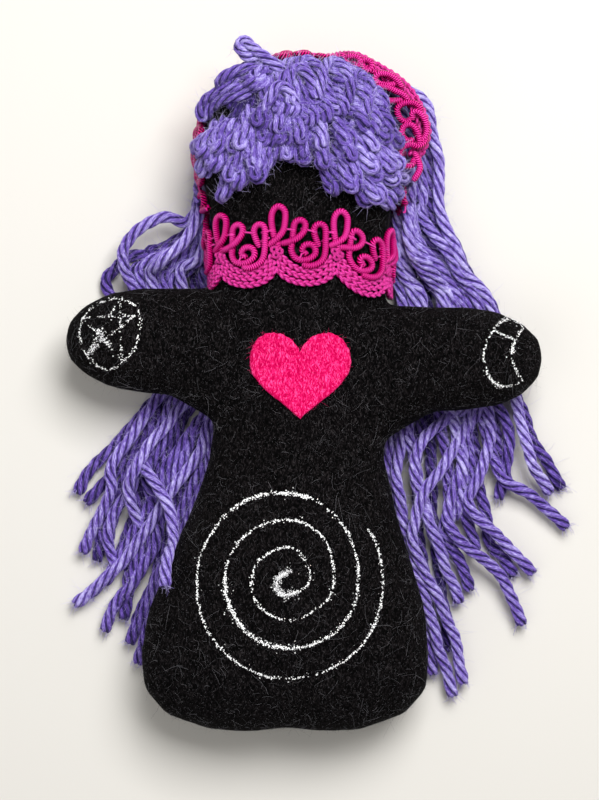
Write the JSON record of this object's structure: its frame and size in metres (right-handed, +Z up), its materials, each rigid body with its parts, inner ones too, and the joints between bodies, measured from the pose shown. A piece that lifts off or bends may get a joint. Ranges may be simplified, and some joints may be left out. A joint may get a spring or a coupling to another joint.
{
  "type": "spirit doll",
  "caption": "Stuffed felt doll without a face, lying on its back, with a heart patch, lace trims at neck and head, a looped yarn fringe and long yarn hair.",
  "frame": {"origin": "on the flat of the back that the doll rests on, under the belly", "axes": "+Y towards the head, +Z up from the table towards the front of the doll, +X to the right as seen from the front"},
  "size_m": [0.1819, 0.2467, 0.0577],
  "materials": {
    "black_felt": "needle-felted wool, matt",
    "stuffing": "loose fibre",
    "pink_felt": "pressed felt, matt",
    "gimp_lace": "wrapped rayon cord, silky",
    "yarn": "twisted yarn, matt"
  },
  "bodies": {
    "torso": {"torso_front_felt": "black_felt", "torso_back_felt": "black_felt", "torso_stuffing": "stuffing", "heart_patch": "pink_felt", "hair_strand_front": "yarn", "hair_lower_layer_left": "yarn", "hair_lower_layer_right": "yarn", "hair_strand_left_1": "yarn", "hair_strand_left_2": "yarn", "hair_strand_left_3": "yarn", "hair_strand_left_4": "yarn", "hair_strand_left_5": "yarn", "hair_strand_left_6": "yarn", "hair_strand_right_1": "yarn", "hair_strand_right_2": "yarn", "hair_strand_right_3": "yarn", "hair_strand_right_4": "yarn", "hair_strand_right_5": "yarn", "hair_strand_right_6": "yarn", "hair_strand_right_7": "yarn", "hair_strand_right_8": "yarn"},
    "head": {"head_front_felt": "black_felt", "head_back_felt": "black_felt", "head_stuffing": "stuffing", "collar_trim": "gimp_lace", "head_band_trim": "gimp_lace", "fringe_lower_tier": "yarn", "fringe_middle_tier": "yarn", "fringe_upper_tier": "yarn", "fringe_stray_loop": "yarn", "hair_crown": "yarn"},
    "left_arm": {"left_arm_front_felt": "black_felt", "left_arm_back_felt": "black_felt", "left_arm_stuffing": "stuffing"},
    "right_arm": {"right_arm_front_felt": "black_felt", "right_arm_back_felt": "black_felt", "right_arm_stuffing": "stuffing"}
  },
  "joints": [
    {"name": "head_nod", "type": "hinge", "parent": "torso", "child": "head", "pos_m": [0.0029, 0.094, 0.023], "axis": [1, 0, 0], "range_deg": [0, 15], "stiffness_Nm_per_rad": 0.15},
    {"name": "left_arm_lift", "type": "hinge", "parent": "torso", "child": "left_arm", "pos_m": [-0.0481, 0.079, 0.023], "axis": [0, 1, 0], "range_deg": [0, 20], "stiffness_Nm_per_rad": 0.05},
    {"name": "right_arm_lift", "type": "hinge", "parent": "torso", "child": "right_arm", "pos_m": [0.0539, 0.0724, 0.023], "axis": [0, -1, 0], "range_deg": [0, 20], "stiffness_Nm_per_rad": 0.05}
  ]
}
